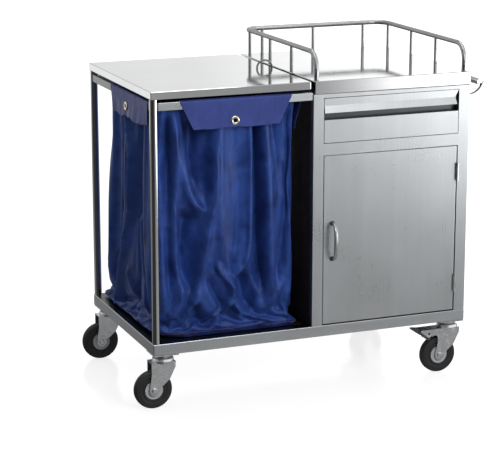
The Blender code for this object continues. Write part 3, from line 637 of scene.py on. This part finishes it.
def bag_mesh():
    """The bag's cloth before it settles: rings down its sides, then rings in to the middle of its floor."""
    heights = np.linspace(RIM, FOOT, ROWS)
    turn = math.tau * np.arange(COLUMNS) / COLUMNS
    verts = []
    for height in heights:
        ring, normal = bag_ring(height)
        hang = smoothstep(RIM - height, 0.0, 0.09) * (1 - 0.8 * smoothstep(0.29 - height, 0.0, 0.075))
        front = smoothstep(-normal[:, 1], 0.6, 0.9)
        left = smoothstep(-normal[:, 0], 0.6, 0.9)
        hidden = 1 - np.maximum(front, left)
        inset = 0.019 * front + 0.014 * left + 0.002
        out = FRONT_DEPTH * front * (folds(FRONT_FOLDS, height, ring[:, 0]) + panel(height, ring[:, 0]))
        out += LEFT_DEPTH * left * folds(LEFT_FOLDS, height, ring[:, 1])
        out += hidden * 0.008 * np.sin(24 * turn + 1.5 * math.sin(5 * height) + 2.0 * np.sin(2 * turn))
        out += 0.0022 * np.sin(37 * turn + 4 * height) * np.sin(9 * height + 1.75 * turn)
        out *= hang
        foot = smoothstep(0.36 - height, 0.0, 0.10) * smoothstep(height, 0.232, 0.262)
        out += foot * (0.0045 * np.sin(17 * turn + 60 * height) + 0.0045 * np.sin(11 * turn - 80 * height + 2)
                       + 0.0025 * np.sin(31 * turn + 110 * height + 1)
                       + 0.0012 * np.sin(53 * turn - 140 * height))
        out -= inset * hang
        ring = ring + normal * out[:, None]
        lift = foot * 0.004 * np.sin(27 * turn + 60 * height + 0.7)
        verts += [(x, y, height + up) for (x, y), up in zip(ring, lift)]
    foot = np.array([v[:2] for v in verts[-COLUMNS:]])
    for share in SHARES:
        verts += [(x, y, FOOT) for x, y in MIDDLE + (foot - MIDDLE) * share]
    rows = ROWS + len(SHARES)
    faces = grid_faces(rows, COLUMNS, closed=True)
    verts.append((*MIDDLE, FOOT))
    last = (rows - 1) * COLUMNS
    faces += [(last + c, last + (c + 1) % COLUMNS, len(verts) - 1) for c in range(COLUMNS)]
    return verts, faces


def collider(name, low, high):
    """A box that the cloth may not pass, removed once it has settled."""
    x0, y0, z0 = low
    x1, y1, z1 = high
    verts = [(x, y, z) for x in (x0, x1) for y in (y0, y1) for z in (z0, z1)]
    faces = [(0, 1, 3, 2), (4, 6, 7, 5), (0, 4, 5, 1), (2, 3, 7, 6), (0, 2, 6, 4), (1, 5, 7, 3)]
    made = piece(name, verts, faces, BAY_SHADE, body=None, smooth=False)
    made.modifiers.new("stop", "COLLISION")
    made.collision.thickness_outer = 0.002
    made.collision.cloth_friction = 12
    return made


def settle(made, pinned, frames, stops, **settings):
    """Runs cloth on made with the pinned vertices held, and keeps the shape it comes to."""
    group = made.vertex_groups.new(name="held")
    for index, weight in pinned:
        group.add([index], weight, "REPLACE")
    cloth = made.modifiers.new("cloth", "CLOTH")
    cloth.settings.vertex_group_mass = "held"
    for key, value in settings.items():
        setattr(cloth.settings, key, value)
    cloth.collision_settings.distance_min = 0.002
    cloth.collision_settings.use_self_collision = True
    cloth.collision_settings.self_distance_min = 0.002
    cloth.point_cache.frame_start, cloth.point_cache.frame_end = 1, frames
    for now in range(1, frames + 1):
        scene.frame_set(now)
    done = bpy.data.meshes.new_from_object(made.evaluated_get(bpy.context.evaluated_depsgraph_get()))
    made.modifiers.clear()
    made.vertex_groups.clear()
    made.data = done
    done.shade_smooth()
    for stop in stops:
        bpy.data.objects.remove(stop)
    scene.frame_set(1)


verts, faces = bag_mesh()
bag = piece("bag_body", verts, faces, CLOTH, slot="bag_cloth")
stops = [
    collider("stop_floor", (-0.56, -0.32, 0.15), (0.02, 0.34, 0.2088)),
    collider("stop_base_front", (-0.56, -0.32, 0.15), (0.02, -0.268, 0.2205)),
    collider("stop_base_left", (-0.56, -0.32, 0.15), (-0.512, 0.34, 0.2205)),
    collider("stop_base_rear", (-0.56, 0.296, 0.15), (0.02, 0.34, 0.2205)),
    collider("stop_cabinet", (-0.0085, -0.32, 0.15), (0.03, 0.34, 1.0)),
    collider("stop_post", (-0.552, -0.308, 0.20), (-0.524, -0.280, 0.99)),
]
rim = [(i, 1.0) for i in range(COLUMNS * 2)] + [(i, 0.6) for i in range(COLUMNS * 2, COLUMNS * 3)]
seam = [(i, 1.0) for i in range(COLUMNS * (ROWS - 1), len(verts))]
foot = [(i, 0.6) for i in range(COLUMNS * HEM_ROW, COLUMNS * (ROWS - 1))]
settle(bag, rim + foot + seam, 26, stops, quality=6, mass=0.10, tension_stiffness=25,
       compression_stiffness=20, shear_stiffness=6, bending_stiffness=0.16, shrink_min=-0.026,
       air_damping=2.0)
thicken(bag, 0.0011)
finer(bag)


def hem_mesh():
    """The piping round the bag's foot: a thin tube that follows one row of the settled cloth."""
    path = [bag.data.vertices[COLUMNS * HEM_ROW + c].co.copy() for c in range(COLUMNS)]
    verts = []
    for (x, y, z), (across, along) in zip(path, bag_ring(HEM_HEIGHT)[1]):
        for turn in np.arange(HEM_SIDES) * math.tau / HEM_SIDES:
            reach = 0.0022 + 0.0018 * math.cos(turn)
            verts.append((x + across * reach, y + along * reach, z + 0.0018 * math.sin(turn)))
    faces = []
    for i in range(COLUMNS):
        here, there = i * HEM_SIDES, (i + 1) % COLUMNS * HEM_SIDES
        faces += [(here + j, there + j, there + (j + 1) % HEM_SIDES, here + (j + 1) % HEM_SIDES)
                  for j in range(HEM_SIDES)]
    return verts, faces


hem = piece("bag_hem", *hem_mesh(), PIPING, slot="bag_cloth")
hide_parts("linen_bag")


# Flaps -------------------------------------------------------------------------------------------
OVER_RAIL = ((-0.0004, 0.966), (-0.0004, 0.976), (-0.0004, 0.984), (0.0008, 0.9885), (0.0045, 0.9902),
             (0.0110, 0.9904), (0.0170, 0.9902), (0.0205, 0.9885), (0.0218, 0.9850))  # outwards and up


def flap(name, point, top, bottom, drop, waves, node=None, lean=0.0):
    """Cloth folded out over a rail: point(across, out, height) places it.

    top and bottom are its (start, end) along the rail, drop how far it hangs, waves how crumpled it is,
    and lean how far it swings back under the rail.
    """
    columns, rows = 88, 44
    falls = np.linspace(0, 1, rows - len(OVER_RAIL) + 1)[1:]
    verts = []
    for j in range(rows):
        fall = 0.0 if j < len(OVER_RAIL) else falls[j - len(OVER_RAIL)]
        out, height = OVER_RAIL[min(j, len(OVER_RAIL) - 1)]
        ease = fall * (0.45 + 0.55 * fall)
        for i in range(columns):
            share = i / (columns - 1)
            across = (top[0] + (top[1] - top[0]) * share) * (1 - fall) \
                + (bottom[0] + (bottom[1] - bottom[0]) * share) * fall
            turn = 2 * share - 1
            ripple = 0.6 * math.sin(5.2 * turn + 0.8) + 0.35 * math.sin(11.3 * turn - 1.1 + 2 * fall) \
                + 0.2 * math.sin(21.0 * turn + 3.0 * fall)
            sag = 0.5 + 0.5 * math.sin(6.4 * turn + 2.2) + 0.3 * math.sin(15 * turn + 0.4)
            reach = out + 0.0008 * fall + waves * ease * (ripple + 0.85) - lean * smoothstep(fall, 0.15, 1)
            verts.append(point(across, reach, height - (drop - 0.004) * fall + waves * 2.2 * ease * sag))
    made = piece(name, verts, grid_faces(rows, columns), FLAP, slot="bag_cloth")
    finer(made)
    thicken(made, 0.0009, 0.0)
    if node:
        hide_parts(node)
    return made


def cut_hole(made, centre, radius):
    """Takes out the faces of made that lie within radius of centre."""
    build = bmesh.new()
    build.from_mesh(made.data)
    gone = [f for f in build.faces if (f.calc_center_median() - Vector(centre)).length < radius]
    bmesh.ops.delete(build, geom=gone, context="FACES")
    build.to_mesh(made.data)
    build.free()


def eyelet(name, centre, axis):
    """A pressed nickel eyelet: a rolled rim on each side of the cloth and a short throat."""
    profile = []
    for side in (1, -1):
        arc = [(0.0105 + 0.0042 * math.cos(turn), side * (0.0006 + 0.0017 * math.sin(turn)))
               for turn in np.linspace(0, math.pi, 9)]
        profile += arc if side == 1 else arc[::-1]
    return lathe(name, profile, centre, axis, NICKEL, slot="zinc_plate")


def front_point(across, out, height):
    return across, -0.2816 - out, height


def left_point(across, out, height):
    return -0.5256 - out, across, height


def right_point(across, out, height):
    return -0.0590 + out, across, height


def rear_point(across, out, height):
    return across, 0.2068 + out, height


front_eye = (-0.2735, -0.3052, 0.9195)
left_eye = (-0.5510, -0.0620, 0.9430)
flap_front = flap("bag_flap_front_cloth", front_point, (-0.4535, -0.0815), (-0.4115, -0.1235), 0.092, 0.0010,
                  "bag_flap_front")
flap_left = flap("bag_flap_left_cloth", left_point, (0.1060, -0.2680), (0.0640, -0.2640), 0.084, 0.0036,
                 "bag_flap_left")
flap_right = flap("bag_flap_right_cloth", right_point, (-0.2740, 0.1950), (-0.2660, 0.1850), 0.120, 0.0016,
                  lean=0.0215)
flap_rear = flap("bag_flap_rear_cloth", rear_point, (-0.1000, -0.4800), (-0.1200, -0.4600), 0.070, 0.0016)
for cloth, eye in ((flap_front, front_eye), (flap_left, left_eye)):
    cut_hole(cloth, eye, 0.0085)
eye_front = eyelet("bag_eyelet_front", front_eye, (0, -1, 0))
eye_left = eyelet("bag_eyelet_left", left_eye, (-1, 0, 0.05))


# Stage -------------------------------------------------------------------------------------------
def floor():
    """Pale paper to the camera. The steel mirrors a studio floor instead, which brightens away from the cart.

    ahead is that floor's brightness in front of the cart, behind the one at its back, and lit keeps the
    front left dark.
    """
    half = 30.0
    made = piece("floor", [(-half, -half, 0), (half, -half, 0), (half, half, 0), (-half, half, 0)],
                 [(0, 1, 2, 3)], BAY_SHADE, body=None, smooth=False)
    look = Look("floor_paper", (0.26, 0.26, 0.26), 0.0, 0.16, Specular_IOR_Level=0.22)
    grain = look.noise(60.0, detail=2)
    look.rough(look.spread(grain, 0.14, 0.18))
    look.shader.inputs["Emission Color"].default_value = (1, 1, 1, 1)
    look.shader.inputs["Emission Strength"].default_value = 0.80
    split = look.node("ShaderNodeSeparateXYZ")
    look.link(look.place(), split.inputs[0])
    x, y = split.outputs["X"], split.outputs["Y"]
    bend = look.math("MULTIPLY", look.math("MINIMUM", look.math("ADD", y, 4.5), 0.0), 0.45)
    ahead = look.spread(look.math("ADD", x, bend), 0.38, 4.8, 1.72, 3.7)
    behind = look.spread(y, 0.22, 1.1, 3.0, 4.6)
    line = look.math("ADD", x, look.math("MULTIPLY", y, 0.15))
    lit = look.math("MAXIMUM", look.spread(line, 0.0, 1.0, -0.80, -0.50), look.spread(y, 0.0, 1.0, -0.1, 0.5))
    blend = look.spread(y, 0.0, 1.0, -0.4, 0.3)
    tone = look.math("ADD", look.math("MULTIPLY", ahead, look.math("SUBTRACT", 1.0, blend)),
                     look.math("MULTIPLY", behind, blend))
    tone = look.math("ADD", look.math("MULTIPLY", tone, lit), 0.04)
    path = look.node("ShaderNodeLightPath")
    gloss = path.outputs["Is Glossy Ray"]
    power = look.math("ADD", look.math("MULTIPLY", tone, gloss),
                      look.math("MULTIPLY", look.math("SUBTRACT", 1.0, gloss), 0.35))
    glow = look.node("ShaderNodeEmission")
    look.link(power, glow.inputs["Strength"])
    mix = look.node("ShaderNodeMixShader")
    look.link(path.outputs["Is Camera Ray"], mix.inputs[0])
    look.link(glow.outputs[0], mix.inputs[1])
    look.link(look.shader.outputs[0], mix.inputs[2])
    look.link(mix.outputs[0], look.tree.nodes["Material Output"].inputs["Surface"])
    made.data.materials.clear()
    made.data.materials.append(look.material)
    made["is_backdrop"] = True


def studio():
    """White to the camera. The steel mirrors a room that is brightest at its right and overhead."""
    world = bpy.data.worlds.new("studio")
    scene.world = world
    world.use_nodes = True
    nodes, links = world.node_tree.nodes, world.node_tree.links
    background = nodes["Background"]
    split = nodes.new("ShaderNodeSeparateXYZ")
    links.new(nodes.new("ShaderNodeTexCoord").outputs["Generated"], split.inputs[0])

    def ranged(socket, start, end, low, high):
        made = nodes.new("ShaderNodeMapRange")
        links.new(split.outputs[socket], made.inputs["Value"])
        for key, number in (("From Min", start), ("From Max", end), ("To Min", low), ("To Max", high)):
            made.inputs[key].default_value = number
        return made.outputs["Result"]

    def mixed(factor, a, b):
        made = nodes.new("ShaderNodeMix")
        for socket, value in ((MIX_FACTOR, factor), (MIX_A, a), (MIX_B, b)):
            if isinstance(value, (int, float)):
                made.inputs[socket].default_value = value
            else:
                links.new(value, made.inputs[socket])
        return made.outputs[MIX_OUT]

    path = nodes.new("ShaderNodeLightPath")
    rear = ranged("Y", -0.45, 0.35, 0.0, 1.0)
    side = ranged("X", -0.4, 0.6, 0.18, 1.35)
    back = nodes.new("ShaderNodeMath")
    links.new(ranged("X", 0.16, 0.32, 0.74, 0.97), back.inputs[0])
    links.new(ranged("X", 0.34, 0.44, 0.0, 0.5), back.inputs[1])
    low = mixed(rear, side, back.outputs[0])
    high = mixed(ranged("Z", 0.80, 0.95, 0.0, 1.0), 0.45, 2.3)
    mirrored = mixed(ranged("Z", 0.30, 0.75, 0.0, 1.0), low, high)
    soft = ranged("Z", -0.1, 0.9, 0.28, 0.70)
    strength = mixed(path.outputs["Is Glossy Ray"], soft, mirrored)
    links.new(mixed(path.outputs["Is Camera Ray"], strength, 1.0), background.inputs["Strength"])
    background.inputs["Color"].default_value = (1, 1, 1, 1)


def softbox(name, place, aim, size, power):
    """An area light that the camera doesn't see."""
    light = bpy.data.lights.new(name, "AREA")
    light.shape = "RECTANGLE"
    light.size, light.size_y = size
    light.energy = power
    made = bpy.data.objects.new(name, light)
    scene.collection.objects.link(made)
    made.location = place
    made.rotation_euler = (Vector(aim) - Vector(place)).to_track_quat("-Z", "Y").to_euler()
    made.visible_camera = False
    return made


BAG_FRONT = (-0.25, -0.2, 0.55)
CAMERA_PLACE = (-2.3270, -5.5677, 1.9648)
CAMERA_DOWN, CAMERA_TURN = 13.87, -21.785  # degrees below level, and about the vertical

floor()
studio()
softbox("key", (0.9, -4.0, 2.5), BAG_FRONT, (2.2, 2.2), 102).visible_glossy = False
softbox("sheen", (0.6, -4.0, 2.7), BAG_FRONT, (1.5, 2.0), 34)
softbox("overhead", (0.2, 0.6, 3.6), (0.1, 0.1, 0.4), (2.4, 2.0), 30).visible_glossy = False

camera_data = bpy.data.cameras.new("camera")
camera_data.sensor_width = 36.0
camera_data.lens = 132.84
camera_data.clip_end = 200.0
camera = bpy.data.objects.new("camera", camera_data)
camera.location = CAMERA_PLACE
camera.rotation_euler = (math.radians(90 - CAMERA_DOWN), 0.0, math.radians(CAMERA_TURN))
scene.collection.objects.link(camera)
scene.camera = camera
scene.view_settings.view_transform = "Standard"

low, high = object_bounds()
